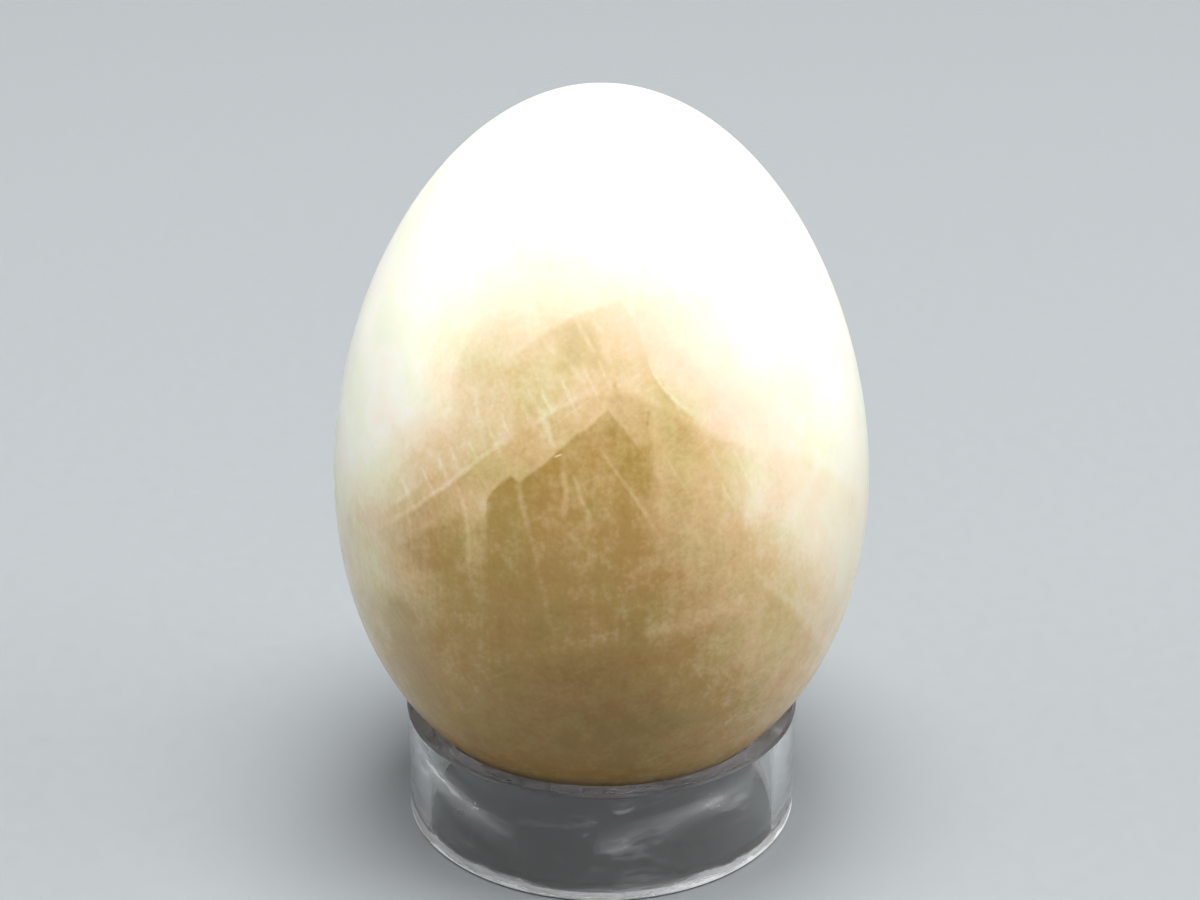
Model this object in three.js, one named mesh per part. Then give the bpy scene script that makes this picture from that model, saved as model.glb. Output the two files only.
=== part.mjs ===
// Stone egg on a ring stand: a polished stone egg stands, blunt end down, on a short ring of clear acrylic tube.
// Millimetres, +Z up. The origin is the centre of the ring's underside, where the object stands.

import * as THREE from 'three';

// Driving sizes of the egg
const eggLength = 56.7;
const eggBreadth = 41.7;
const widestBelowMiddle = 3.05;

// Driving sizes of the ring
const ringDiameter = 31.75;
const ringWall = 1.6;
const ringHeight = 9.525;
const edgeBevel = 0.2;

// How far above touching the ring the egg is held
const seatClearance = 0.1;

// How finely the round surfaces are divided
const sidesAround = 72;
const eggBands = 32;

// The egg's curve: an ellipse of the egg's length and breadth whose widest part is moved down from its middle.
// Heights are measured from the middle of the length.
const lengthSquared = eggLength ** 2;
const breadthSquared = eggBreadth ** 2;
const skewSquared = lengthSquared + 4 * widestBelowMiddle ** 2;

function eggRadius(height) {
  const across = (lengthSquared - 4 * height ** 2) / (skewSquared + 8 * widestBelowMiddle * height);
  return (eggBreadth / 2) * Math.sqrt(Math.max(across, 0));
}

// The same curve solved for the height of its underside at a radius
function eggUnderside(radius) {
  const linear = 8 * widestBelowMiddle * radius ** 2;
  const constant = radius ** 2 * skewSquared - (breadthSquared * lengthSquared) / 4;
  const root = Math.sqrt(linear ** 2 - 4 * breadthSquared * constant);
  return (-linear - root) / (2 * breadthSquared);
}

// A solid turned about the Z axis from points of [radius, height]
function turned(profile) {
  const points = profile.map(([radius, height]) => new THREE.Vector2(radius, height));
  return new THREE.LatheGeometry(points, sidesAround).rotateX(Math.PI / 2);
}

function eggGeometry() {
  const profile = [];
  for (let band = 0; band <= eggBands; band += 1) {
    const height = (-eggLength / 2) * Math.cos((Math.PI * band) / eggBands);
    const atTip = band === 0 || band === eggBands;
    profile.push([atTip ? 0 : eggRadius(height), height]);
  }
  return turned(profile);
}

const outerRadius = ringDiameter / 2;
const innerRadius = outerRadius - ringWall;

// The two edges of the ring's inner top bevel, which the egg rests on
const seatEdges = [
  [innerRadius, ringHeight - edgeBevel],
  [innerRadius + edgeBevel, ringHeight],
];

function ringGeometry() {
  const profile = [
    [innerRadius + edgeBevel, 0],
    [outerRadius - edgeBevel, 0],
    [outerRadius, edgeBevel],
    [outerRadius, ringHeight - edgeBevel],
    [outerRadius - edgeBevel, ringHeight],
    ...seatEdges.toReversed(),
    [innerRadius, edgeBevel],
  ];
  return turned([...profile, profile[0]]);
}

// The egg sinks into the ring until its underside meets the first of the seat's edges.
const seatHeights = seatEdges.map(([radius, height]) => height - eggUnderside(radius));
const eggMiddle = Math.max(...seatHeights) + seatClearance;

const polishedStone = new THREE.MeshStandardMaterial({
  color: '#e3d6b8',
  roughness: 0.2,
  metalness: 0,
});

const clearAcrylic = new THREE.MeshStandardMaterial({
  color: '#eef1f2',
  roughness: 0.05,
  metalness: 0,
  transparent: true,
  opacity: 0.35,
});

const ring = new THREE.Mesh(ringGeometry(), clearAcrylic);
ring.name = 'ring_stand';

const egg = new THREE.Mesh(eggGeometry(), polishedStone);
egg.name = 'stone_egg';
egg.position.z = eggMiddle;

const group = new THREE.Group();
group.name = 'stone_egg_on_ring_stand';
group.add(ring, egg);

export default group;
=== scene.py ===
"""Stone egg on a ring stand, dressed for the studio.

A polished feldspar egg stands, blunt end down, in a short ring of clear acrylic tube. Its stone is milky at
the top and the sides, and honey coloured where the core shows through. That milk is partly painted light, a
painted highlight on the top and painted sheen at the sides, and the deepening low down is partly painted
shade.
Flat cleavage cracks inside it draw stepped edges and thin bright veils. Blender lengths are metres with +Z
up.
What is drawn on the stone and the ring is in millimetres.
"""

import math
import random
from collections import namedtuple

import bpy
from bpy.props import FloatProperty
from bpy.props import FloatVectorProperty
from bpy.props import IntProperty
from bpy.props import PointerProperty
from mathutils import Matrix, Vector
from mathutils import noise


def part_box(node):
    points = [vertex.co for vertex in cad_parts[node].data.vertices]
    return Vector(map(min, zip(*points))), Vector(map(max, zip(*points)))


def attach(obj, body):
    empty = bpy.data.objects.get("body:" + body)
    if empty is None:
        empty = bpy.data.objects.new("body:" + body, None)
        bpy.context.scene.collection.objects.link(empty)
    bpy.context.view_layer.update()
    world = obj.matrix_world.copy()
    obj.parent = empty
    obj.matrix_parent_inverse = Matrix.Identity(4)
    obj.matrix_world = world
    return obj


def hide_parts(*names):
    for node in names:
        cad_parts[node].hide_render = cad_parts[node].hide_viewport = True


bl_info = {
    "name": "Stone Egg on Ring Stand",
    "version": (1, 0, 0),
    "blender": (4, 5, 0),
    "location": "View3D > Sidebar > Stone Egg",
    "description": "Builds a polished feldspar egg, its clear acrylic ring and a studio stage",
    "category": "Add Mesh",
}

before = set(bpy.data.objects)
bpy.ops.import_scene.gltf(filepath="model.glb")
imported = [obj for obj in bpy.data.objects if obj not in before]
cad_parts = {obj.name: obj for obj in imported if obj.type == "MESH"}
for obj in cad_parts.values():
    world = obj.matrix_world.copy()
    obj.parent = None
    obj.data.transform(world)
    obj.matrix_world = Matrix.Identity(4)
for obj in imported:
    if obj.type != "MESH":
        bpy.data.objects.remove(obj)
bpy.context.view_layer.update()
EGG_LOW, EGG_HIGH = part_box("stone_egg")
RING_LOW, RING_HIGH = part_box("ring_stand")
MILLIMETRE = 0.001
# How many degrees the camera looks down. The drawing on the egg's front is seen from there too.
PITCH = 23.3
# A drawing fades in over this many mm of depth, from the egg's or the ring's limb inwards.
FACING_GROWTH = 8


def linear(hex_colour):
    """An sRGB hex colour as the linear values that shaders and lights expect."""
    channels = [int(hex_colour[place : place + 2], 16) / 255 for place in (1, 3, 5)]
    return tuple(c / 12.92 if c <= 0.04045 else ((c + 0.055) / 1.055) ** 2.4 for c in channels)


def colour_property(name, hex_colour, description):
    """A colour that a user can change."""
    return FloatVectorProperty(
        name=name, description=description, subtype="COLOR", size=3, min=0, max=1, default=linear(hex_colour)
    )


def length_property(name, default, description):
    """A length that a user can change, in metres."""
    return FloatProperty(
        name=name, description=description, default=default, min=0, precision=5, unit="LENGTH"
    )


class EggSettings(bpy.types.PropertyGroup):
    """Sizes and colours of the stone egg."""

    length: length_property("Length", EGG_HIGH.z - EGG_LOW.z, "From the blunt to the narrow end")
    breadth: length_property("Breadth", EGG_HIGH.x - EGG_LOW.x, "Across the widest part")
    underside: length_property("Underside height", EGG_LOW.z, "Height of the blunt end above the table")
    widest_drop: length_property(
        "Widest part drop", 3.05 * MILLIMETRE, "How far the widest part lies below half the length"
    )
    polish_waver: length_property(
        "Polish waver", 0.03 * MILLIMETRE, "How far hand polishing strays from the true egg curve"
    )
    sides: IntProperty(name="Sides", description="Faces around the egg", default=256, min=32)
    bands: IntProperty(name="Bands", description="Bands of faces from end to end", default=160, min=16)
    milk: colour_property("Milk", "#e8e4d9", "Cloudy white stone")
    cream: colour_property("Cream", "#e2d5b8", "Stone just under the milky skin")
    peach: colour_property("Peach", "#d1b586", "Layers over the honey core")
    honey: colour_property("Honey", "#ac8c4c", "The clear core")
    umber: colour_property("Umber", "#94702c", "The deepest core")
    rose: colour_property("Rose", "#fff8f4", "Tint of the rosy patches")
    olive: colour_property("Olive", "#f7fdf1", "Tint of the olive patches")
    # The skin's grey milk is partly painted sheen on the left and right limbs.
    skin: colour_property("Skin", "#d4d6c6", "Grey milk at the sides")
    # Blush is the colour of a painted highlight fringe round the lit white top.
    highlight_fringe_blush: colour_property("Blush", "#e8ccc2", "Rosy milk that borders the white top")


class RingSettings(bpy.types.PropertyGroup):
    """Sizes and colours of the acrylic ring."""

    diameter: length_property("Diameter", RING_HIGH.x - RING_LOW.x, "Outside diameter of the tube")
    height: length_property("Height", RING_HIGH.z - RING_LOW.z, "Height that the tube was cut to")
    wall: length_property("Wall", 1.6 * MILLIMETRE, "Thickness of the tube's wall")
    bevel: length_property("Bevel", 0.2 * MILLIMETRE, "Width of the bevel on each edge")
    softening: length_property("Softening", 0.04 * MILLIMETRE, "Rounding of each edge of the bevels")
    sides: IntProperty(name="Sides", description="Faces around the ring", default=256, min=32)
    frosting: length_property("Frosting", 0.85 * MILLIMETRE, "How far up the wall the foot looks frosted")
    tint: colour_property("Tint", "#fbfdfd", "Colour of the clear acrylic")
    # The end tint is partly the acrylic's own end-on colour and partly painted shade from the egg above.
    end_shade_tint: colour_property("End tint", "#8f898c", "Colour of the acrylic seen end on")


class StageSettings(bpy.types.PropertyGroup):
    """The floor, the lights and the camera."""

    floor_colour: colour_property("Floor", "#7a7e80", "Colour of the floor's paint")
    floor_thin: colour_property("Thin floor paint", "#7e8284", "Colour where the roller left the paint thin")
    floor_size: length_property("Floor size", 2.4, "Width and depth of the floor")
    lens: FloatProperty(name="Lens", description="Focal length on a 36 mm frame", default=66, unit="CAMERA")
    distance: length_property("Camera distance", 0.17166, "From the camera to the point it aims at")
    camera_shift: FloatProperty(
        name="Camera shift",
        description="How far it stands to the right of the egg's axis",
        default=-0.116 * MILLIMETRE,
        precision=6,
        unit="LENGTH",
    )
    pitch: FloatProperty(
        name="Camera pitch", description="How far it looks down", default=math.radians(PITCH), subtype="ANGLE"
    )
    aim_height: length_property("Aim height", 0.03106, "Height of the point that the camera aims at")
    world_colour: colour_property("Studio light", "#dfe3e6", "Colour of the light from all round")


# The softboxes, in metres and watts, and the point that they face
Softbox = namedtuple("Softbox", "name place size power")
SOFTBOXES = (
    Softbox("top_softbox", (0.12, -0.16, 1.9), 1.44, 95),
    Softbox("left_softbox", (-2.4, -0.2, 1.1), 1.6, 19),
    Softbox("right_softbox", (3.6, -0.24, 1.9), 2.4, 86),
)
SOFTBOX_AIM = Vector((0, 0, 0.03))

Stroke = namedtuple("Stroke", "points profile")


def step(crisp, fade, rest=0.3, rim=0.1):
    """The profile of a layer's edge: a light rim outside, and inside it dark that fades over a distance."""
    return ((-1.8, 0), (-crisp, -rim), (crisp, 1), (fade, rest), (2.5 * fade, 0))


def veil(width):
    """The profile of a crack that catches the light."""
    return ((-width, 0), (-0.2 * width, -1), (0.2 * width, -1), (width, 0))


# Where the egg's front shows its cleavage, as its camera sees it, in mm from its middle. A level stroke runs
# from left to right through points of (right, up, strength). An upright one runs upwards through points of
# (up, right, strength). A profile goes from above a level stroke to below it, or from the right of an upright
# one to its left, through points of (distance, depth of colour).
LEVEL_STROKES = (
    # The highest layer, a blunt peak with a long right slope
    Stroke(
        (
            (-9.0, 4.4, 0), (-4.9, 6.8, 0.06), (-3.7, 7.7, 0.10), (-2.0, 8.8, 0.11),
            (1.3, 9.9, 0.10), (2.3, 8.2, 0.05), (3.4, 5.0, 0.06), (4.0, 3.9, 0.11),
            (5.4, 2.5, 0.13), (7.4, 1.2, 0),
        ),
        step(0.2, 3.5, rest=0.2),
    ),
    # Where the white of the right shoulder begins
    Stroke(
        ((1.5, 11.2, 0), (3.8, 9.9, 0.06), (4.8, 6.8, 0.07), (8.2, 4.1, 0.07), (13.0, 1.0, 0)),
        step(0.6, 3),
    ),
    # The layer under the peak, with its long right slope
    Stroke(
        (
            (0.1, 2.9, 0), (1.0, 3.7, 0.08), (3.4, 2.8, 0.09), (5.6, 1.7, 0.08), (8.2, 0.5, 0.08),
            (10.3, -0.2, 0.04), (13.9, -0.9, 0),
        ),
        step(0.25, 6, rest=0.4),
    ),
    # The foot of the milky right shoulder
    Stroke(
        ((10.5, 0.2, 0), (13.3, -0.4, 0.08), (15.3, -1.2, 0.12), (17.0, -2.2, 0.12), (19.0, -3.8, 0.08)),
        step(0.45, 4),
    ),
    # The main layer, the darkest peak, notched on its left slope
    Stroke(
        (
            (-9.4, -6.2, 0), (-8.1, -4.7, 0.08), (-7.9, -3.7, 0.15), (-7.2, -2.8, 0.20),
            (-6.3, -2.2, 0.21), (-5.7, -2.6, 0.21), (-3.9, -1.3, 0.21), (-1.7, 0.7, 0.17),
            (-1.1, 1.0, 0.15), (0.4, 2.4, 0.15), (1.6, 0.9, 0.11), (3.3, -1.2, 0.06),
            (4.6, -3.6, 0),
        ),
        step(0.15, 8, rest=0.35),
    ),
    # The long slope on the left, and a shorter one above it
    Stroke(
        (
            (-17.0, -6.8, 0), (-15.8, -6.0, 0.06), (-13.4, -4.6, 0.10), (-10.0, -2.3, 0.09),
            (-7.0, 0.0, 0.05), (-4.2, 1.8, 0),
        ),
        step(0.2, 3.5, rest=0.4),
    ),
    Stroke(
        ((-16.6, -5.6, 0), (-15.6, -4.7, 0.06), (-14.0, -3.7, 0.08), (-12.5, -2.6, 0.08), (-9.5, -0.8, 0)),
        step(0.2, 3),
    ),
    # The lowest slope on the left
    Stroke(
        ((-16.4, -8.4, 0), (-15.3, -7.6, 0.08), (-12.5, -6.0, 0.11), (-9.8, -5.1, 0.11), (-9.0, -5.6, 0)),
        step(0.35, 6, rest=0.5),
    ),
    # The left side is milky above the slopes, and its clearer edge shows as a wedge.
    Stroke(
        (
            (-21.0, -6.0, 0.36), (-17.0, -3.6, 0.36), (-14.0, -2.4, 0.26), (-11.0, -1.4, 0.06),
            (-7.8, 0.4, 0), (0.0, 4.0, 0),
        ),
        ((-18, -0.5), (-9, -0.9), (-4.5, -1), (-1.5, -0.45), (1, 0)),
    ),
    Stroke(
        ((-17.2, 6.5, 0), (-15.5, 3.2, 0.08), (-14.3, 1.1, 0.10), (-12.8, -0.4, 0.08), (-11.6, -1.4, 0)),
        step(0.5, 3),
    ),
    # A clearer patch on the upper left
    Stroke(
        ((-16.0, 8.0, 0), (-11.5, 8.0, 0.09), (-7.5, 7.5, 0.06), (-4.0, 7.0, 0)),
        ((-2, 0), (0, 1), (2.5, 1), (6, 0)),
    ),
    # The lower right, where a milky corner ends, and a layer under it
    Stroke(
        (
            (6.0, -5.0, 0), (8.4, -5.6, 0.06), (11.9, -6.7, 0.10), (13.5, -7.9, 0.12),
            (16.0, -9.5, 0.12), (18.6, -11.6, 0.08),
        ),
        ((-8, 0), (-4, -0.45), (-2, -0.55), (1.6, 0.5), (5, 0.3), (10, 0)),
    ),
    Stroke(
        ((10.0, -8.7, 0), (12.1, -10.4, 0.07), (13.7, -11.8, 0.09), (16.0, -14.6, 0.07), (17.0, -16.0, 0)),
        step(0.5, 3),
    ),
    # A clearer corner low on the left, and the milk above it
    Stroke(
        (
            (-21.0, -11.0, 0.08), (-17.0, -10.8, 0.08), (-14.5, -10.8, 0.14), (-12.5, -12.0, 0.07),
            (-11.0, -13.0, 0),
        ),
        ((-4, 0), (-2.5, -0.8), (-1, -0.8), (1, 1), (5, 1), (9, 0.3)),
    ),
    # A rosy band low on the front, and the dark under it
    Stroke(
        (
            (-9.0, -15.9, 0), (-5.8, -15.0, 0.07), (-0.1, -13.9, 0.1), (2.7, -13.2, 0.1),
            (6.9, -12.0, 0.08), (11.5, -11.0, 0),
        ),
        veil(0.9),
    ),
    Stroke(
        ((-9.0, -16.4, 0), (-0.1, -14.6, 0.05), (5.5, -13.1, 0.05), (11.5, -11.5, 0)),
        step(0.7, 4, rest=0.5, rim=0),
    ),
    # Veils along the slopes
    Stroke(
        ((-16.4, -6.3, 0), (-13.4, -4.5, 0.08), (-10.0, -2.2, 0.08), (-7.0, 0.1, 0.06), (-5.6, 1.0, 0)),
        veil(0.35),
    ),
    Stroke(((-16.2, -5.1, 0), (-14.0, -3.6, 0.06), (-12.0, -2.2, 0)), veil(0.35)),
    Stroke(
        ((-5.6, 0.9, 0), (-4.2, 1.8, 0.06), (-2.9, 2.6, 0.08), (-0.8, 3.6, 0.07), (0.3, 4.6, 0)),
        veil(0.4),
    ),
    Stroke(
        ((3.1, 6.0, 0), (3.6, 4.8, 0.04), (4.5, 3.5, 0.06), (5.6, 2.6, 0.05), (6.6, 1.9, 0)),
        veil(0.3),
    ),
    Stroke(
        ((-0.4, -0.1, 0), (0.2, -0.7, 0.08), (1.9, -3.1, 0.11), (2.8, -4.5, 0.1), (4.4, -6.8, 0)),
        veil(0.38),
    ),
    Stroke(
        (
            (-4.6, -5.0, 0), (-3.9, -5.2, 0.05), (-2.9, -5.6, 0.07), (-1.4, -7.0, 0.06),
            (1.3, -8.8, 0.045), (4.0, -10.3, 0),
        ),
        veil(0.5),
    ),
    Stroke(((1.2, -9.4, 0), (2.6, -8.7, 0.04), (5.9, -6.9, 0.04), (7.5, -6.2, 0)), veil(0.5)),
    Stroke(((-7.7, -6.6, 0), (-7.1, -7.3, 0.05), (-6.1, -8.7, 0.05), (-5.6, -9.6, 0)), veil(0.5)),
    Stroke(((10.4, -8.6, 0), (12.4, -10.3, 0.05), (15.8, -13.0, 0)), veil(0.5)),
)
UPRIGHT_STROKES = (
    # A clear olive block inside the highest layer
    Stroke(
        ((4.6, -1.0, 0), (5.5, 0.0, 0.10), (6.8, -0.1, 0.12), (8.2, -0.9, 0.09), (8.9, -1.8, 0)),
        ((-0.3, 0), (0.3, 1), (2.2, 1), (3.1, 0)),
    ),
    # Faint upright walls, darker on their left
    Stroke(
        ((-5.2, 3.6, 0), (-3.4, 3.5, 0.08), (1.6, 3.4, 0.09), (2.8, 3.3, 0)),
        step(0.25, 2.2, rest=0.2),
    ),
    Stroke(((-5.4, 8.4, 0), (-3.6, 8.3, 0.03), (0.4, 8.3, 0)), step(0.3, 2.4, rest=0.2)),
    Stroke(((-7.0, 10.0, 0), (-5.0, 9.9, 0.05), (0.8, 9.8, 0)), step(0.3, 2.4, rest=0.2)),
    Stroke(((-7.4, 13.2, 0), (-5.0, 13.1, 0.04), (-0.6, 13.0, 0)), step(0.3, 2.4, rest=0.2)),
    # Faint upright walls, lighter on their left
    Stroke(
        ((0.4, -10.2, 0), (2.0, -10.1, -0.04), (6.2, -10.1, -0.04), (8.4, -10.0, 0)),
        step(0.4, 2.7, rest=0.2),
    ),
    Stroke(
        ((1.4, -12.8, 0), (3.0, -12.8, -0.04), (7.6, -12.8, -0.04), (9.4, -12.9, 0)),
        step(0.3, 3, rest=0.2),
    ),
    Stroke(
        ((-9.0, -8.4, 0), (-6.6, -8.1, -0.06), (-3.6, -7.9, -0.06), (-3.0, -7.9, 0)),
        step(0.3, 1.9, rest=0.1),
    ),
    # Steep veils that hang from the slopes
    Stroke(
        (
            (-11.5, -9.3, 0), (-9.2, -9.3, 0.04), (-6.0, -9.4, 0.08), (-3.9, -9.7, 0.10),
            (-3.2, -10.0, 0.06), (-2.6, -10.2, 0),
        ),
        veil(0.28),
    ),
    Stroke(
        (
            (-13.6, -3.3, 0), (-12.0, -3.7, 0.06), (-10.0, -4.2, 0.07), (-8.0, -4.5, 0.05),
            (-5.2, -5.2, 0.09), (-3.8, -5.6, 0.11), (-2.8, -5.8, 0.12), (-2.3, -5.9, 0),
        ),
        veil(0.32),
    ),
    Stroke(
        ((-6.2, -2.5, 0), (-4.5, -2.6, 0.08), (-3.1, -2.5, 0.12), (-2.1, -2.6, 0.12), (-0.8, -2.8, 0)),
        veil(0.34),
    ),
    Stroke(
        ((-6.0, -0.7, 0), (-4.8, -1.0, 0.08), (-3.8, -1.4, 0.11), (-2.8, -1.7, 0.10), (-1.2, -2.4, 0)),
        veil(0.28),
    ),
    # Veils that cross the slopes and the highest layer
    Stroke(
        ((-0.4, -3.3, 0), (-0.1, -3.3, 0.08), (1.3, -3.8, 0.11), (2.2, -4.2, 0.08), (3.0, -4.6, 0)),
        veil(0.35),
    ),
    Stroke(
        ((6.0, -0.4, 0), (6.3, -0.5, 0.08), (7.7, -1.3, 0.10), (8.5, -1.7, 0.07), (8.9, -1.9, 0)),
        veil(0.3),
    ),
    Stroke(((7.4, 0.1, 0), (7.8, -0.1, 0.08), (8.4, -0.5, 0.06), (8.7, -0.6, 0)), veil(0.25)),
    Stroke(((5.9, -3.2, 0), (6.4, -3.5, 0.06), (7.1, -3.9, 0.06), (7.5, -4.1, 0)), veil(0.4)),
    Stroke(
        ((4.0, -1.2, 0), (4.4, -1.4, 0.07), (5.0, -1.8, 0.08), (5.8, -2.4, 0.07), (6.2, -2.6, 0)),
        veil(0.45),
    ),
    Stroke(((-6.0, 13.4, 0), (-3.4, 14.6, 0.05), (-1.4, 15.6, 0.07), (-1.0, 15.8, 0)), veil(0.6)),
    # Faint ones low on the front, and at its left
    Stroke(((-14.6, 2.3, 0), (-13.0, 1.9, 0.06), (-10.5, 1.3, 0.06), (-9.4, 1.1, 0)), veil(0.3)),
    Stroke(((-7.9, -13.5, 0), (-7.2, -13.6, 0.06), (-5.4, -13.8, 0.06), (-4.8, -13.9, 0)), veil(0.3)),
    Stroke(((0.4, -8.3, 0), (1.2, -8.4, 0.05), (3.6, -8.8, 0.05), (4.8, -9.0, 0)), veil(0.3)),
    # A clear olive block low on the front
    Stroke(
        ((-14.2, 3.0, 0), (-13.4, 3.0, 0.1), (-11.8, 3.1, 0.1), (-11.2, 3.2, 0)),
        ((-0.3, 0), (0.2, 1), (0.9, 1), (1.5, 0)),
    ),
    # Dark grains in two of the walls
    Stroke(
        ((3.7, 1.0, 0), (4.0, 0.9, 0.16), (4.3, 0.9, 0.05), (4.6, 0.9, 0)),
        ((-0.2, 0), (0, 1), (0.2, 0)),
    ),
    Stroke(
        ((1.2, 3.2, 0), (1.5, 3.1, 0.12), (1.8, 3.2, 0.03), (2.2, 3.2, 0.12), (2.4, 3.2, 0)),
        ((-0.2, 0), (0, 1), (0.2, 0)),
    ),
    # A pit in the polish, with a painted glint: a pale crescent drawn into its colour
    Stroke(((-0.95, -3.2, 0), (-0.85, -3.1, 0.4), (-0.75, -2.9, 0.4), (-0.65, -2.8, 0)), veil(0.22)),
)
# Where a rosier milk borders the white top, drawn as a level stroke. It is a painted highlight fringe: the
# rosy edge of the lit white top.
HIGHLIGHT_FRINGE = Stroke(
    (
        (-14, 6.0, 0), (-9, 10.0, 0.2), (-1, 11.0, 0.3), (4, 8.0, 0.4), (8, 3.8, 0.45),
        (12, 1.6, 0.3), (16, 1.0, 0),
    ),
    ((-5, 0), (-1.5, 1), (0.8, 1), (4, 0)),
)
# Level strokes where the front is rosier than elsewhere, or more olive where the strength is below 0
PATCHES = (
    Stroke(
        ((-6, -15.6, 0), (-2, -15.2, 0.1), (1.6, -15.0, 0.2), (5, -14.0, 0.1), (8, -13.0, 0)),
        ((-2.5, 0), (-1, 1), (1, 1), (2.5, 0)),
    ),
    Stroke(
        ((3, 8.5, 0), (6, 7.5, 0.1), (9, 5.0, 0.14), (12, 3.5, 0.14), (16, 2.5, 0)),
        ((-3, 0), (-1.5, 1), (1, 1), (3, 0)),
    ),
    Stroke(
        ((-11, 6.0, 0), (-7, 6.3, -0.08), (-2, 7.0, -0.1), (2, 6.8, -0.12), (4, 6.5, 0)),
        ((-2.5, 0), (-1, 1), (1.5, 1), (3, 0)),
    ),
    Stroke(
        ((0, -2.2, 0), (2, -2.5, -0.1), (8, -2.7, -0.12), (10, -3.0, 0)),
        ((-2.5, 0), (-1.5, 1), (1.5, 1), (2.5, 0)),
    ),
)

# Painted light on the front of the ring's wall: whitish smears that paint the bright streaks of light which
# the ring focuses, as level strokes in mm from its axis and its foot
CAUSTIC_SMEARS = (
    Stroke(
        (
            (-15.4, 9.2, 0), (-14.4, 8.2, 0.5), (-12.8, 7.3, 0.9), (-11.2, 6.7, 0.6),
            (-8.8, 5.7, 0.2), (-6.0, 5.0, 0),
        ),
        ((-1.0, 0), (-0.35, 0.3), (-0.1, 1), (0.15, 1), (0.45, 0.4), (1.8, 0)),
    ),
    Stroke(
        (
            (2.8, 6.1, 0), (4.2, 6.5, 0.16), (6.5, 6.9, 0.2), (8.5, 7.3, 0.2), (10.0, 7.6, 0.1),
            (14.6, 8.6, 0),
        ),
        ((-1.2, 0), (-0.3, 0.8), (0.1, 1), (0.8, 0.4), (1.6, 0)),
    ),
    Stroke(
        ((-0.8, 4.5, 0), (0.5, 4.7, 0.2), (1.6, 4.9, 0.3), (2.6, 5.5, 0.15), (3.6, 6.1, 0)),
        ((-2.2, 0), (-0.8, 0.3), (-0.2, 0.9), (0.1, 1), (0.4, 0)),
    ),
    Stroke(
        ((0.5, 8.3, 0), (1.2, 8.0, 0.4), (1.9, 8.1, 0.4), (2.7, 8.5, 0)),
        ((-0.35, 0), (0, 1), (0.25, 0)),
    ),
)
# How frosted the ring's sawn foot looks, by the distance in mm to the right of its axis. It is frostier and
# whiter at the left and right as painted side light, and dimmer in the front's middle.
FROSTING_AND_SIDE_LIGHT_ACROSS = ((-15, 1), (-9, 0.8), (-3, 0.35), (4, 0.35), (9, 0.9), (15, 1))

# How deep the plain stone's colour is, from 0 for milk to 1 for umber: by the height in mm from the egg's
# middle, and then how much more or less by the distance in mm to the right of it. Besides the stone's own
# colour,
# these paint light: milk at the top as a painted highlight, deeper colour low down as painted shade, and
# paler left and right sides as painted side light.
DEPTH_AND_SHADE_BY_HEIGHT = (
    (-25, 1.05), (-16, 0.98), (-8, 0.82), (-1, 0.74), (3, 0.64), (12, 0.475), (14, 0.425),
    (16.5, 0.385), (20, 0.2), (24, 0),
)
DEPTH_AND_SIDE_LIGHT_ACROSS = ((-17, -0.28), (-11, -0.14), (-5, -0.03), (1.5, 0), (8, -0.18), (17, -0.5))
# How much of a milky skin covers it, by how far the surface faces left or right, and by the height. The skin
# is
# partly painted light: painted sheen on the left and right limbs, and a painted highlight on the top.
SKIN_AND_SHEEN_BY_FACING = (
    (-0.98, 0.85), (-0.9, 0.45), (-0.7, 0.18), (-0.55, 0), (0.6, 0), (0.75, 0.08), (0.93, 0.45),
    (0.98, 0.85),
)
SKIN_AND_HIGHLIGHT_BY_HEIGHT = ((8, 0), (12, 0.08), (16, 0.18), (25, 0.2))


def ladder():
    """Short steep veils that cross the band above the long left slope, about a millimetre apart."""
    chance = random.Random(5)
    rungs = []
    across, up = -14.0, -2.9
    while across < 0:
        length = chance.uniform(1.4, 2.4)
        glow = chance.uniform(0.07, 0.12)
        points = ((across - 0.3, up + 0.5, 0), (across, up, glow), (across + 0.5 * length, up - length, 0))
        rungs.append(Stroke(points, veil(chance.uniform(0.35, 0.6))))
        gap = chance.uniform(0.9, 1.5)
        across += gap
        up += 0.6 * gap
    return rungs


def made_up_strokes(seed):
    """Level and upright strokes like the front's, for a side that the photograph doesn't show."""
    chance = random.Random(seed)
    level, upright = [], []
    left_reach, right_reach, notch_width, notch_depth = 11, 8, 0.4, 0.5
    for up in (8, 2, -3, -9):
        corner = chance.uniform(-8, 8)
        left_fall, right_fall = chance.uniform(0.3, 0.8), chance.uniform(0.3, 1.6)
        strength = chance.uniform(0.07, 0.16)
        notch = chance.uniform(2, 5)
        points = (
            (corner - left_reach, up - left_reach * left_fall, 0),
            (corner - notch - notch_width, up - notch * left_fall, strength),
            (corner - notch, up - notch * left_fall - notch_depth, strength),
            (corner, up, strength),
            (corner + right_reach, up - right_reach * right_fall, 0),
        )
        level.append(Stroke(points, step(0.15, chance.uniform(5, 9))))
        shifted = tuple((across, height + 0.1, amount * 0.6) for across, height, amount in points)
        level.append(Stroke(shifted, veil(0.35)))
    for _ in range(8):
        across, up = chance.uniform(-13, 13), chance.uniform(-10, 9)
        length = chance.uniform(2, 7)
        points = ((up - length, across + 0.3 * length, 0), (up - 0.4, across, 0.09), (up, across, 0))
        upright.append(Stroke(points, veil(chance.uniform(0.25, 0.5))))
    return level, upright


def egg_radius(height, settings):
    """Radius of the egg at a height from its middle: an ellipse with its widest part moved down."""
    length, drop = settings.length, settings.widest_drop
    across = (length**2 - 4 * height**2) / (length**2 + 8 * drop * height + 4 * drop**2)
    return settings.breadth / 2 * math.sqrt(max(across, 0))


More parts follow.
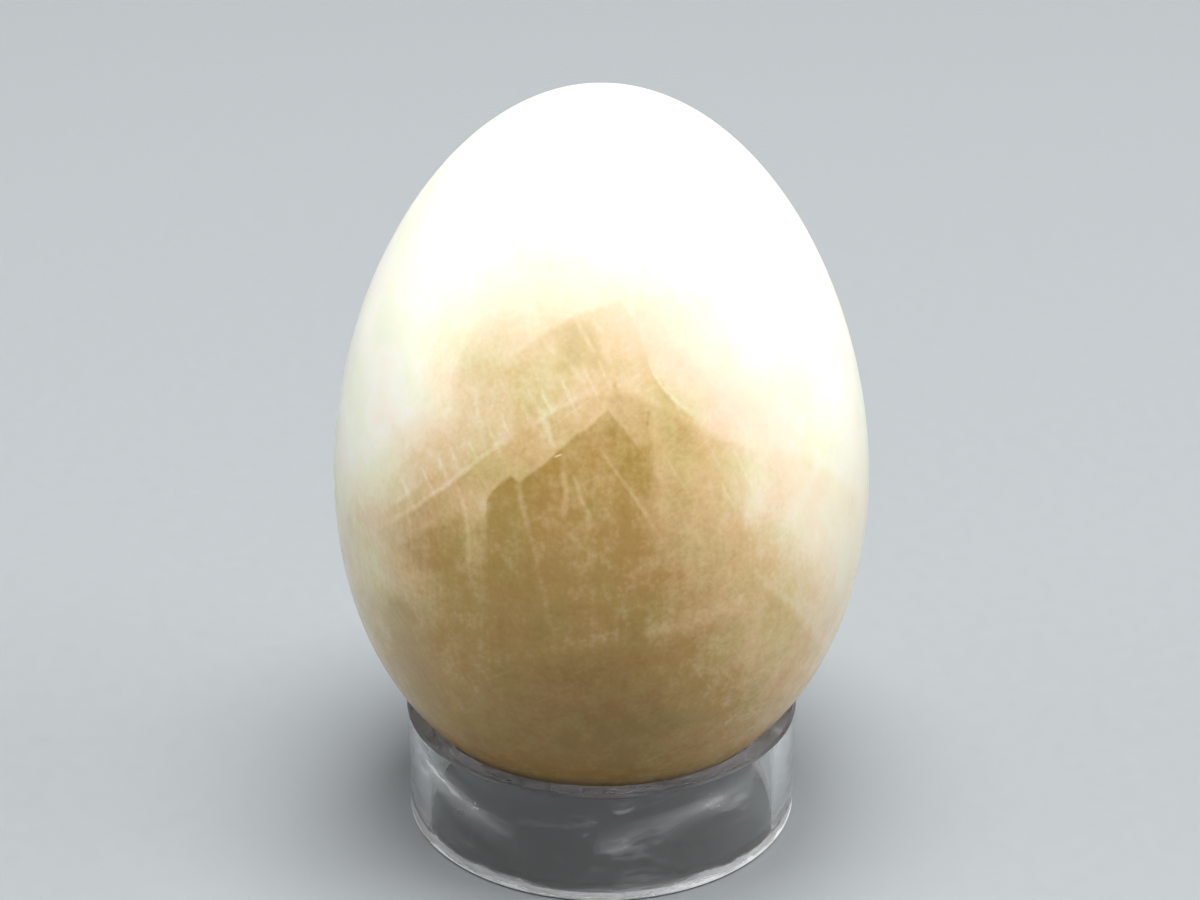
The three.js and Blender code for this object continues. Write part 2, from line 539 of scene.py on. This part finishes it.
def turned_mesh(name, profile, sides):
    """A surface turned about Z from points of (radius, height). It ends on the axis or closes on itself."""
    vertices = []
    rows = []
    for radius, height in profile:
        if radius == 0:
            rows.append([len(vertices)] * sides)
            vertices.append((0, 0, height))
            continue
        rows.append(range(len(vertices), len(vertices) + sides))
        for side in range(sides):
            angle = math.tau * side / sides
            vertices.append((radius * math.cos(angle), radius * math.sin(angle), height))
    if profile[0][0] != 0:
        rows.append(rows[0])
    faces = []
    for lower, upper in zip(rows, rows[1:]):
        for side in range(sides):
            following = (side + 1) % sides
            corners = (lower[side], lower[following], upper[following], upper[side])
            faces.append(tuple(dict.fromkeys(corners)))
    mesh = bpy.data.meshes.new(name)
    mesh.from_pydata(vertices, [], faces)
    mesh.shade_smooth()
    return mesh


def place_piece(name, mesh, body, node):
    """Puts a piece on its body, in place of its plain solid."""
    piece = bpy.data.objects.new(name, mesh)
    bpy.context.scene.collection.objects.link(piece)
    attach(piece, body)
    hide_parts(node)
    return piece


def add_node(tree, kind, inputs=None, stops=None, **settings):
    """Adds one node.

    Each input goes by its name, or by its number among the inputs in use. It takes a value, a socket, or a
    node whose first output in use feeds it. The stops are a colour ramp's (position, colour), or the points
    of a curve that follows straight lines.
    """
    node = tree.nodes.new(kind)
    for name, value in settings.items():
        setattr(node, name, value)
    in_use = [entry for entry in node.inputs if entry.enabled]
    for name, value in (inputs or {}).items():
        entry = in_use[name] if isinstance(name, int) else next(each for each in in_use if each.name == name)
        if isinstance(value, bpy.types.Node):
            value = next(output for output in value.outputs if output.enabled)
        if isinstance(value, bpy.types.NodeSocket):
            tree.links.new(value, entry)
        else:
            entry.default_value = value
    if stops and kind == "ShaderNodeValToRGB":
        elements = node.color_ramp.elements
        while len(elements) < len(stops):
            elements.new(1)
        for element, (position, colour) in zip(elements, stops):
            element.position = position
            element.color = (*colour, 1)
    if stops and kind == "ShaderNodeFloatCurve":
        node.mapping.use_clip = False
        node.mapping.extend = "HORIZONTAL"
        points = node.mapping.curves[0].points
        points[0].location = stops[0]
        points[1].location = stops[-1]
        for stop in stops[1:-1]:
            points.new(*stop)
        for point in points:
            point.handle_type = "VECTOR"
        node.mapping.update()
    return node


def new_material(name):
    """An empty material, its node tree, and its texture coordinates."""
    material = bpy.data.materials.new(name)
    material.use_nodes = True
    tree = material.node_tree
    tree.nodes.clear()
    return material, tree, add_node(tree, "ShaderNodeTexCoord")


def in_millimetres(tree, source, height=0):
    """Where each point lies in mm, from the point at a height above the origin."""
    return add_node(
        tree,
        "ShaderNodeVectorMath",
        {0: source.outputs["Object"], 1: (1 / MILLIMETRE,) * 3, 2: (0, 0, -height / MILLIMETRE)},
        operation="MULTIPLY_ADD",
    )


def seen_from(tree, place, azimuth, elevation, faces_by):
    """How far points lie to the right and up in mm, seen from one side, and how much they face that side.

    They start to face it where they lie nearer to it than the middle by a distance in mm.
    """
    turn, tilt = math.radians(azimuth), math.radians(elevation)
    right = (math.cos(turn), math.sin(turn), 0)
    up = (-math.sin(turn) * math.sin(tilt), math.cos(turn) * math.sin(tilt), math.cos(tilt))
    near = (math.sin(turn) * math.cos(tilt), -math.cos(turn) * math.cos(tilt), math.sin(tilt))
    across, above, ahead = [
        add_node(tree, "ShaderNodeVectorMath", {0: place, 1: way}, operation="DOT_PRODUCT")
        for way in (right, up, near)
    ]
    facing = add_node(
        tree,
        "ShaderNodeMapRange",
        {"Value": ahead, "From Min": faces_by, "From Max": faces_by + FACING_GROWTH},
        interpolation_type="SMOOTHSTEP",
    )
    return across, above, facing


def draw_strokes(tree, along, beside, strokes, total=0):
    """Adds each stroke's profile, times its strength, to a total."""
    for stroke in strokes:
        path = [point[:2] for point in stroke.points]
        strength = [point[::2] for point in stroke.points]
        edge = add_node(tree, "ShaderNodeFloatCurve", {"Value": along}, path)
        inside = add_node(tree, "ShaderNodeMath", {0: edge, 1: beside}, operation="SUBTRACT")
        shape = add_node(tree, "ShaderNodeFloatCurve", {"Value": inside}, stroke.profile)
        amount = add_node(tree, "ShaderNodeFloatCurve", {"Value": along}, strength)
        total = add_node(
            tree, "ShaderNodeMath", {0: shape, 1: amount, 2: total}, operation="MULTIPLY_ADD"
        )
    return total


def drawn_cleavage(tree, place):
    """How much deeper its layers and veils make the stone's colour, and the wavering places they follow."""
    # Cleavage edges stray from straight lines by a few tenths of a millimetre, about six times in 10 mm.
    stray = 0.42
    waver = add_node(
        tree, "ShaderNodeTexNoise", {"Vector": place, "Scale": 6 / 10, "Detail": 4, "Roughness": 0.7}
    )
    centred = add_node(
        tree, "ShaderNodeVectorMath", {0: waver.outputs["Color"], 1: (0.5,) * 3}, operation="SUBTRACT"
    )
    bent = add_node(
        tree, "ShaderNodeVectorMath", {0: centred, 1: (stray,) * 3, 2: place}, operation="MULTIPLY_ADD"
    )
    # What is made up for the other three sides stays behind the front's limb.
    _, _, behind = seen_from(tree, bent, 180, -PITCH, -2)
    drawn = 0
    for azimuth, elevation, faces_by, level_strokes, upright_strokes in (
        (0, PITCH, 1, (*LEVEL_STROKES, *ladder()), UPRIGHT_STROKES),
        (90, 0, 7, *made_up_strokes(11)),
        (180, 0, 5, *made_up_strokes(24)),
        (270, 0, 7, *made_up_strokes(37)),
    ):
        across, above, facing = seen_from(tree, bent, azimuth, elevation, faces_by)
        strokes = draw_strokes(tree, across, above, level_strokes)
        strokes = draw_strokes(tree, above, across, upright_strokes, strokes)
        if azimuth != 0:
            facing = add_node(tree, "ShaderNodeMath", {0: facing, 1: behind}, operation="MULTIPLY")
        drawn = add_node(tree, "ShaderNodeMath", {0: strokes, 1: facing, 2: drawn}, operation="MULTIPLY_ADD")
    return drawn, bent


def stone_grain(tree, place, bent):
    """How much deeper or paler its clouds, fibres, grain and thin sheets make the stone's colour."""
    grain = 0
    # Clouds, blotches, upright fibres and sugary grain, each with its size in mm, how many times longer it is
    # upwards, its detail and its strength. The sugary grain is finer in the stone, and is drawn at 0.4 mm so
    # that it shows.
    for size, stretch, detail, amount in (
        (9, 1, 2, 0.04),
        (1.5, 1, 5, 0.08),
        (0.8, 9, 3, 0.035),
        (0.4, 1, 2, 0.055),
    ):
        per_size = (1 / size, 1 / size, 1 / (size * stretch))
        near = add_node(tree, "ShaderNodeVectorMath", {0: place, 1: per_size}, operation="MULTIPLY")
        speckle = add_node(
            tree, "ShaderNodeTexNoise", {"Vector": near, "Scale": 1, "Detail": detail, "Roughness": 0.6}
        )
        share = add_node(
            tree,
            "ShaderNodeMapRange",
            {"Value": speckle, "From Min": 0.3, "From Max": 0.7, "To Min": -amount, "To Max": amount},
        )
        grain = add_node(tree, "ShaderNodeMath", {0: grain, 1: share}, operation="ADD")
    # Thin sheets of cleavage in two directions, paler than the stone
    thickness, width, paleness = 0.4, 5, 0.07
    for azimuth, lean in ((180, 57), (0, 27)):
        turn, tilt = math.radians(azimuth), math.radians(lean)
        normal = Vector((math.cos(turn) * math.cos(tilt), math.sin(turn) * math.cos(tilt), math.sin(tilt)))
        through = add_node(
            tree, "ShaderNodeVectorMath", {0: bent, 1: normal / thickness}, operation="DOT_PRODUCT"
        )
        apart = add_node(tree, "ShaderNodeVectorMath", {0: normal, "Scale": through}, operation="SCALE")
        near = add_node(
            tree, "ShaderNodeVectorMath", {0: place, 1: (1 / width,) * 3, 2: apart}, operation="MULTIPLY_ADD"
        )
        sheet = add_node(tree, "ShaderNodeTexNoise", {"Vector": near, "Scale": 1, "Detail": 1})
        share = add_node(
            tree,
            "ShaderNodeMapRange",
            {"Value": sheet, "From Min": 0.6, "From Max": 0.85, "To Max": -paleness},
            interpolation_type="SMOOTHSTEP",
        )
        grain = add_node(tree, "ShaderNodeMath", {0: grain, 1: share}, operation="ADD")
    return grain


def milky_skin_and_sheen(tree, source, place, height):
    """How much of a skin of grey milk covers the stone: thick at the sides, thin at the top, partly painted
    sheen and highlight.
    """
    faces = add_node(tree, "ShaderNodeSeparateXYZ", {"Vector": source.outputs["Normal"]})
    # At the left and right limbs the skin is partly painted sheen.
    full = add_node(tree, "ShaderNodeFloatCurve", {"Value": faces.outputs["X"]}, SKIN_AND_SHEEN_BY_FACING)
    # The sides' skin thins out low down.
    thinning = add_node(
        tree,
        "ShaderNodeMapRange",
        {"Value": height, "From Min": -22, "From Max": -6, "To Min": 0.3, "To Max": 1},
    )
    thinned = add_node(tree, "ShaderNodeMath", {0: full, 1: thinning}, operation="MULTIPLY")
    # Wisps about 7 mm across, where the skin is thinner
    wisps = add_node(
        tree,
        "ShaderNodeTexNoise",
        {"Vector": place, "Scale": 1 / 7, "Detail": 5, "Roughness": 0.6, "Distortion": 0.6},
    )
    wispy = add_node(
        tree,
        "ShaderNodeMapRange",
        {"Value": wisps, "From Min": 0.38, "From Max": 0.6, "To Min": 0.5, "To Max": 1.05},
    )
    sides = add_node(tree, "ShaderNodeMath", {0: thinned, 1: wispy}, operation="MULTIPLY")
    # On the top the skin is partly a painted highlight.
    top = add_node(tree, "ShaderNodeFloatCurve", {"Value": height}, SKIN_AND_HIGHLIGHT_BY_HEIGHT)
    return add_node(tree, "ShaderNodeMath", {0: sides, 1: top}, operation="MAXIMUM")


def stone_polish(tree, place):
    """How dull the stone's polish is, and its relief."""
    # The polish dulls a little in patches, about three of them in 20 mm.
    patches = add_node(tree, "ShaderNodeTexNoise", {"Vector": place, "Scale": 3 / 20, "Detail": 2})
    dullness = add_node(
        tree,
        "ShaderNodeMapRange",
        {"Value": patches, "From Min": 0.3, "From Max": 0.7, "To Min": 0.2, "To Max": 0.26},
    )
    # A few pits, a few tenths of a millimetre across and about 5 mm apart, and a ripple, three in 10 mm
    ripple_share = 1.5
    pits = add_node(tree, "ShaderNodeTexVoronoi", {"Vector": place, "Scale": 1 / 5})
    rim = add_node(tree, "ShaderNodeMapRange", {"Value": pits, "From Min": 0.01, "From Max": 0.04})
    ripple = add_node(tree, "ShaderNodeTexNoise", {"Vector": place, "Scale": 3 / 10, "Detail": 2})
    relief = add_node(
        tree, "ShaderNodeMath", {0: ripple, 1: ripple_share, 2: rim}, operation="MULTIPLY_ADD"
    )
    bump = add_node(
        tree, "ShaderNodeBump", {"Height": relief, "Strength": 0.25, "Distance": 0.05 * MILLIMETRE}
    )
    return dullness, bump


def stone_material(settings):
    """Feldspar, cut and tumbled to a high polish.

    The eye gets a soft glossy skin, milky light from inside, and honey depths crossed by straight veils.
    """
    material, tree, source = new_material("polished_feldspar")
    place = in_millimetres(tree, source, settings.underside + settings.length / 2)
    parts = add_node(tree, "ShaderNodeSeparateXYZ", {"Vector": place})
    to_right, height = parts.outputs["X"], parts.outputs["Z"]

    # The stone's colour deepens downwards, and is milkier at the left and right: partly its own colour, and
    # partly painted light, with a painted highlight at the top, painted shade low down and painted side light
    # at the sides.
    level = add_node(tree, "ShaderNodeFloatCurve", {"Value": height}, DEPTH_AND_SHADE_BY_HEIGHT)
    sides = add_node(tree, "ShaderNodeFloatCurve", {"Value": to_right}, DEPTH_AND_SIDE_LIGHT_ACROSS)
    plain = add_node(tree, "ShaderNodeMath", {0: level, 1: sides}, operation="ADD")
    drawn, bent = drawn_cleavage(tree, place)
    layered = add_node(tree, "ShaderNodeMath", {0: drawn, 1: plain}, operation="ADD")
    # The grain shows more where the stone is clearer.
    clearness = add_node(
        tree,
        "ShaderNodeMapRange",
        {"Value": plain, "From Min": 0.1, "From Max": 0.8, "To Min": 0.3, "To Max": 1},
    )
    depth = add_node(
        tree,
        "ShaderNodeMath",
        {0: stone_grain(tree, place, bent), 1: clearness, 2: layered},
        operation="MULTIPLY_ADD",
    )
    colour = add_node(
        tree,
        "ShaderNodeValToRGB",
        {"Fac": depth},
        [
            (0.06, settings.milk),
            (0.3, settings.cream),
            (0.5, settings.peach),
            (0.75, settings.honey),
            (1, settings.umber),
        ],
    )

    # Rosy and olive patches, about 5 mm across, more olive on the left and rosier on the right
    rosier_per_millimetre = 0.002
    patches = add_node(tree, "ShaderNodeTexNoise", {"Vector": place, "Scale": 1 / 5, "Detail": 3})
    leaning = add_node(
        tree,
        "ShaderNodeMath",
        {0: to_right, 1: rosier_per_millimetre, 2: patches},
        operation="MULTIPLY_ADD",
    )
    across, above, facing = seen_from(tree, place, 0, PITCH, 1)
    placed = draw_strokes(tree, across, above, PATCHES)
    rosiness = add_node(
        tree, "ShaderNodeMath", {0: placed, 1: facing, 2: leaning}, operation="MULTIPLY_ADD"
    )
    tint = add_node(
        tree,
        "ShaderNodeValToRGB",
        {"Fac": rosiness},
        [(0.36, settings.olive), (0.5, (1, 1, 1)), (0.64, settings.rose)],
    )
    tinted = add_node(
        tree, "ShaderNodeMix", {"Factor": 1, "A": colour, "B": tint}, data_type="RGBA", blend_type="MULTIPLY"
    )
    # Milk over it: rosy round the white top as a painted highlight fringe, and grey as a skin that is partly
    # painted sheen
    border = draw_strokes(tree, across, above, [HIGHLIGHT_FRINGE])
    highlight_fringe_share = add_node(tree, "ShaderNodeMath", {0: border, 1: facing}, operation="MULTIPLY")
    milked = tinted
    for share, milk in (
        (highlight_fringe_share, settings.highlight_fringe_blush),
        (milky_skin_and_sheen(tree, source, place, height), settings.skin),
    ):
        milked = add_node(
            tree, "ShaderNodeMix", {"Factor": share, "A": milked, "B": (*milk, 1)}, data_type="RGBA"
        )

    dullness, relief = stone_polish(tree, place)
    shader = add_node(
        tree,
        "ShaderNodeBsdfPrincipled",
        {
            "Base Color": milked,
            "Roughness": dullness,
            "Normal": relief,
            "IOR": 1.53,
            "Subsurface Weight": 0.7,
            "Subsurface Radius": (1, 0.7, 0.4),
            "Subsurface Scale": 3 * MILLIMETRE,
        },
    )
    add_node(tree, "ShaderNodeOutputMaterial", {"Surface": shader})
    return material


def cast_acrylic(tree, colour, clearness, finish):
    """Ends a material as cast acrylic, with the shader's inputs for its finish."""
    acrylic = {"Base Color": (*colour, 1), "IOR": 1.491, "Transmission Weight": clearness}
    shader = add_node(tree, "ShaderNodeBsdfPrincipled", {**acrylic, **finish})
    add_node(tree, "ShaderNodeOutputMaterial", {"Surface": shader})


def wall_haze(tree, place, frosting):
    """How hazy the ring's wall is: its smears with painted caustic streaks, and the frosting of its sawn
    foot, painted stronger at the sides.
    """
    # Smears about 5 mm long and 1.5 mm tall, which are faint but make the drawn streaks of painted caustic
    # light patchy
    per_size = (1 / 5, 1 / 5, 1 / 1.5)
    near = add_node(tree, "ShaderNodeVectorMath", {0: place, 1: per_size}, operation="MULTIPLY")
    smears = add_node(
        tree, "ShaderNodeTexNoise", {"Vector": near, "Scale": 1, "Detail": 5, "Roughness": 0.65}
    )
    faint = add_node(
        tree,
        "ShaderNodeMapRange",
        {"Value": smears, "From Min": 0.55, "From Max": 0.75, "To Max": 0.2},
        interpolation_type="SMOOTHSTEP",
    )
    patchy = add_node(
        tree,
        "ShaderNodeMapRange",
        {"Value": smears, "From Min": 0.35, "From Max": 0.6, "To Min": 0.25, "To Max": 1},
    )
    # The drawn smears are painted light: bright streaks focused by the ring, on its front only.
    across, above, facing = seen_from(tree, place, 0, 0, 0)
    drawn = draw_strokes(tree, across, above, CAUSTIC_SMEARS)
    painted_caustic = add_node(tree, "ShaderNodeMath", {0: drawn, 1: facing}, operation="MULTIPLY")
    smears_and_caustic = add_node(tree, "ShaderNodeMath", {0: painted_caustic, 1: patchy, 2: faint}, operation="MULTIPLY_ADD")

    # The frosting thins out up the wall, and reaches higher in places that lie about 6 mm apart.
    uneven = add_node(
        tree, "ShaderNodeTexNoise", {"Vector": place, "Scale": 1 / 6, "Detail": 4, "Roughness": 0.6}
    )
    raised = add_node(
        tree,
        "ShaderNodeMapRange",
        {"Value": uneven, "From Min": 0.35, "From Max": 0.65, "To Min": 0.35, "To Max": -0.25},
    )
    height = add_node(tree, "ShaderNodeMath", {0: above, 1: raised}, operation="ADD")
    frosted = add_node(
        tree,
        "ShaderNodeMapRange",
        {"Value": height, "From Min": frosting / 3, "From Max": frosting, "To Min": 1, "To Max": 0},
        interpolation_type="SMOOTHSTEP",
    )
    # The foot is painted whiter at the left and right, where side light catches it.
    amount = add_node(tree, "ShaderNodeFloatCurve", {"Value": across}, FROSTING_AND_SIDE_LIGHT_ACROSS)
    foot = add_node(tree, "ShaderNodeMath", {0: frosted, 1: amount}, operation="MULTIPLY")
    return add_node(tree, "ShaderNodeMath", {0: smears_and_caustic, 1: foot}, operation="MAXIMUM")


def polished_material(settings):
    """Cast acrylic tube with its polished wall.

    The eye gets clear refraction, a dark heart, scuffs that catch the light, and whitish smears that paint in
    the bright streaks of light which the ring focuses.
    """
    material, tree, source = new_material("polished_cast_acrylic")
    place = in_millimetres(tree, source)
    # Scuffs about 3 mm across, each made of finer ones
    scuffs = add_node(
        tree, "ShaderNodeTexNoise", {"Vector": place, "Scale": 1 / 3, "Detail": 5, "Roughness": 0.6}
    )
    scuffed = add_node(
        tree,
        "ShaderNodeMapRange",
        {"Value": scuffs, "From Min": 0.58, "From Max": 0.75, "To Min": 0.02, "To Max": 0.4},
    )
    # The haze holds painted light: the caustic streaks, and the foot's frosting made stronger at the sides.
    haze = wall_haze(tree, place, settings.frosting / MILLIMETRE)
    haze_dullness = 0.5
    dullness = add_node(
        tree, "ShaderNodeMath", {0: haze, 1: haze_dullness, 2: scuffed}, operation="MULTIPLY_ADD"
    )
    clearness = add_node(tree, "ShaderNodeMath", {0: 1, 1: haze}, operation="SUBTRACT", use_clamp=True)
    cast_acrylic(tree, settings.tint, clearness, {"Roughness": dullness})
    return material


def buffed_material(settings):
    """The same acrylic where its upper end was buffed smooth.

    The eye gets a dark glassy band with cloudy patches; its grey is partly painted shade from the egg above.
    """
    material, tree, source = new_material("buffed_cast_acrylic")
    # Clouds that the buffing wheel left, about 4 mm across
    clouds = add_node(
        tree, "ShaderNodeTexNoise", {"Vector": in_millimetres(tree, source), "Scale": 1 / 4, "Detail": 3}
    )
    dullness = add_node(
        tree,
        "ShaderNodeMapRange",
        {"Value": clouds, "From Min": 0.3, "From Max": 0.7, "To Min": 0.06, "To Max": 0.2},
    )
    # Its grey tint is partly painted shade from the egg above.
    cast_acrylic(tree, settings.end_shade_tint, 0.95, {"Roughness": dullness})
    return material


def scraped_material(settings):
    """The same acrylic where its sharp upper edges were scraped off.

    The eye gets thin pale lines that outline the buffed end.
    """
    material, tree, source = new_material("scraped_cast_acrylic")
    # Nicks where the scraper chattered, about 1 mm apart
    nicks = add_node(
        tree, "ShaderNodeTexNoise", {"Vector": in_millimetres(tree, source), "Scale": 1, "Detail": 3}
    )
    dullness = add_node(
        tree,
        "ShaderNodeMapRange",
        {"Value": nicks, "From Min": 0.3, "From Max": 0.7, "To Min": 0.3, "To Max": 0.5},
    )
    # The edges take the same grey, partly painted shade.
    cast_acrylic(tree, settings.end_shade_tint, 0.9, {"Roughness": dullness})
    return material


def sawn_material(settings):
    """The same acrylic where the tube was sawn off.

    The eye gets a frosted white foot, streaked by the saw, that catches side light.
    """
    material, tree, source = new_material("sawn_cast_acrylic")
    # Saw marks are about 0.1 mm apart, and are drawn at 0.3 mm so that they show.
    wave = add_node(
        tree,
        "ShaderNodeTexWave",
        {"Vector": in_millimetres(tree, source), "Scale": 1 / 0.3 / math.tau, "Distortion": 3, "Detail": 3},
        bands_direction="DIAGONAL",
    )
    marks = wave.outputs["Fac"]
    dullness = add_node(tree, "ShaderNodeMapRange", {"Value": marks, "To Min": 0.4, "To Max": 0.6})
    bump = add_node(
        tree, "ShaderNodeBump", {"Height": marks, "Strength": 0.4, "Distance": 0.03 * MILLIMETRE}
    )
    cast_acrylic(tree, settings.tint, 0.1, {"Roughness": dullness, "Normal": bump})
    return material


def floor_material(settings):
    """Board with a rolled coat of matt paint.

    The eye gets an even pale ground with the faint stipple of the roller.
    """
    material, tree, source = new_material("rolled_matt_paint")
    # A roller leaves a stipple about 1.5 mm across.
    stipple = add_node(
        tree, "ShaderNodeTexNoise", {"Vector": in_millimetres(tree, source), "Scale": 1 / 1.5, "Detail": 2}
    )
    paint = add_node(
        tree,
        "ShaderNodeMix",
        {"Factor": stipple, "A": (*settings.floor_colour, 1), "B": (*settings.floor_thin, 1)},
        data_type="RGBA",
    )
    dullness = add_node(
        tree,
        "ShaderNodeMapRange",
        {"Value": stipple, "From Min": 0.3, "From Max": 0.7, "To Min": 0.65, "To Max": 0.75},
    )
    bump = add_node(
        tree, "ShaderNodeBump", {"Height": stipple, "Strength": 0.3, "Distance": 0.02 * MILLIMETRE}
    )
    shader = add_node(
        tree, "ShaderNodeBsdfPrincipled", {"Base Color": paint, "Roughness": dullness, "Normal": bump}
    )
    add_node(tree, "ShaderNodeOutputMaterial", {"Surface": shader})
    return material


def add_softbox(light):
    """A square softbox that faces the egg."""
    data = bpy.data.lights.new(light.name, "AREA")
    data.energy = light.power
    data.size = light.size
    softbox = bpy.data.objects.new(light.name, data)
    softbox.location = light.place
    aim = SOFTBOX_AIM - Vector(light.place)
    softbox.rotation_euler = aim.to_track_quat("-Z", "Y").to_euler()
    bpy.context.scene.collection.objects.link(softbox)


class STONE_EGG_OT_build_egg(bpy.types.Operator):
    """Builds the stone egg."""

    bl_idname = "stone_egg.build_egg"
    bl_label = "Build Egg"

    def execute(self, context):
        settings = context.scene.stone_egg
        profile = []
        for band in range(settings.bands + 1):
            height = -settings.length / 2 * math.cos(math.pi * band / settings.bands)
            at_end = band in (0, settings.bands)
            profile.append((0 if at_end else egg_radius(height, settings), height))
        mesh = turned_mesh("polished_egg", profile, settings.sides)
        middle = Vector((0, 0, settings.underside + settings.length / 2))
        wavers_per_metre = 60
        for vertex in mesh.vertices:
            stray = settings.polish_waver * noise.noise(vertex.co * wavers_per_metre)
            vertex.co += vertex.co.normalized() * (stray - settings.polish_waver / 2) + middle
        mesh.materials.append(stone_material(settings))
        place_piece("polished_egg", mesh, "egg", "stone_egg")
        return {"FINISHED"}


class STONE_EGG_OT_build_ring(bpy.types.Operator):
    """Builds the clear ring."""

    bl_idname = "stone_egg.build_ring"
    bl_label = "Build Ring"

    def execute(self, context):
        settings = context.scene.stone_egg_ring
        outer = settings.diameter / 2
        inner = outer - settings.wall
        bevel = settings.bevel
        top = settings.height
        profile = [
            (inner + bevel, 0),
            (outer - bevel, 0),
            (outer, bevel),
            (outer, top - bevel),
            (outer - bevel, top),
            (inner + bevel, top),
            (inner, top - bevel),
            (inner, bevel),
        ]
        mesh = turned_mesh("acrylic_ring", profile, settings.sides)
        finishes = {
            "wall": polished_material,
            "end": buffed_material,
            "edge": scraped_material,
            "foot": sawn_material,
        }
        for finish in finishes.values():
            mesh.materials.append(finish(settings))
        for face in mesh.polygons:
            part = "wall"
            if face.center.z < bevel:
                part = "foot"
            elif face.center.z > top - bevel:
                part = "end" if face.normal.z > 0.9 else "edge"
            face.material_index = list(finishes).index(part)
        piece = place_piece("acrylic_ring", mesh, "stand", "ring_stand")
        soften = piece.modifiers.new("soften", "BEVEL")
        soften.width = settings.softening
        soften.segments = 2
        soften.limit_method = "ANGLE"
        soften.angle_limit = math.radians(30)
        piece.modifiers.new("even_shading", "WEIGHTED_NORMAL")
        return {"FINISHED"}


class STONE_EGG_OT_build_stage(bpy.types.Operator):
    """Builds the floor, the lights and the camera."""

    bl_idname = "stone_egg.build_stage"
    bl_label = "Build Stage"

    def execute(self, context):
        settings = context.scene.stone_egg_stage
        scene = context.scene
        half = settings.floor_size / 2
        # The floor lies a hair lower than the ring's foot, so that no two surfaces coincide.
        low = -0.02 * MILLIMETRE
        mesh = bpy.data.meshes.new("floor")
        corners = [(-half, -half, low), (half, -half, low), (half, half, low), (-half, half, low)]
        mesh.from_pydata(corners, [], [(0, 1, 2, 3)])
        floor = bpy.data.objects.new("floor", mesh)
        mesh.materials.append(floor_material(settings))
        scene.collection.objects.link(floor)

        for light in SOFTBOXES:
            add_softbox(light)

        # The world lights the part dimly, and looks as pale as the floor, so that no low view is dark.
        glow, paleness = 0.25, 0.78
        world = bpy.data.worlds.new("studio")
        world.use_nodes = True
        tree = world.node_tree
        tree.nodes.clear()
        rays = add_node(tree, "ShaderNodeLightPath")
        strength = add_node(
            tree,
            "ShaderNodeMapRange",
            {"Value": rays.outputs["Is Camera Ray"], "To Min": glow, "To Max": paleness},
        )
        background = add_node(
            tree, "ShaderNodeBackground", {"Color": (*settings.world_colour, 1), "Strength": strength}
        )
        add_node(tree, "ShaderNodeOutputWorld", {"Surface": background})
        scene.world = world
        scene.view_settings.view_transform = "Standard"

        data = bpy.data.cameras.new("camera")
        data.lens = settings.lens
        data.sensor_width = 36
        data.clip_start = 0.01
        camera = bpy.data.objects.new("camera", data)
        back = settings.distance * math.cos(settings.pitch)
        above = settings.distance * math.sin(settings.pitch)
        camera.location = (settings.camera_shift, -back, settings.aim_height + above)
        camera.rotation_euler = (math.pi / 2 - settings.pitch, 0, 0)
        scene.collection.objects.link(camera)
        scene.camera = camera
        return {"FINISHED"}


class STONE_EGG_PT_panel(bpy.types.Panel):
    """Sizes, colours and build buttons of the stone egg."""

    bl_label = "Stone Egg"
    bl_idname = "STONE_EGG_PT_panel"
    bl_space_type = "VIEW_3D"
    bl_region_type = "UI"
    bl_category = "Stone Egg"

    def draw(self, context):
        for name, _, operator in BUILDS:
            box = self.layout.box()
            settings = getattr(context.scene, name)
            for key in settings.__annotations__:
                box.prop(settings, key)
            box.operator(operator.bl_idname)


# The name of each group of settings on the scene, the group, and the operator that builds from it
BUILDS = (
    ("stone_egg", EggSettings, STONE_EGG_OT_build_egg),
    ("stone_egg_ring", RingSettings, STONE_EGG_OT_build_ring),
    ("stone_egg_stage", StageSettings, STONE_EGG_OT_build_stage),
)


def register():
    """Registers the classes and hangs their settings on the scene."""
    for name, group, operator in BUILDS:
        bpy.utils.register_class(group)
        bpy.utils.register_class(operator)
        setattr(bpy.types.Scene, name, PointerProperty(type=group))
    bpy.utils.register_class(STONE_EGG_PT_panel)


def unregister():
    """Undoes register."""
    bpy.utils.unregister_class(STONE_EGG_PT_panel)
    for name, group, operator in reversed(BUILDS):
        delattr(bpy.types.Scene, name)
        bpy.utils.unregister_class(operator)
        bpy.utils.unregister_class(group)


def main():
    """Builds the whole scene."""
    register()
    bpy.ops.stone_egg.build_egg()
    bpy.ops.stone_egg.build_ring()
    bpy.ops.stone_egg.build_stage()


if __name__ == "__main__":
    main()
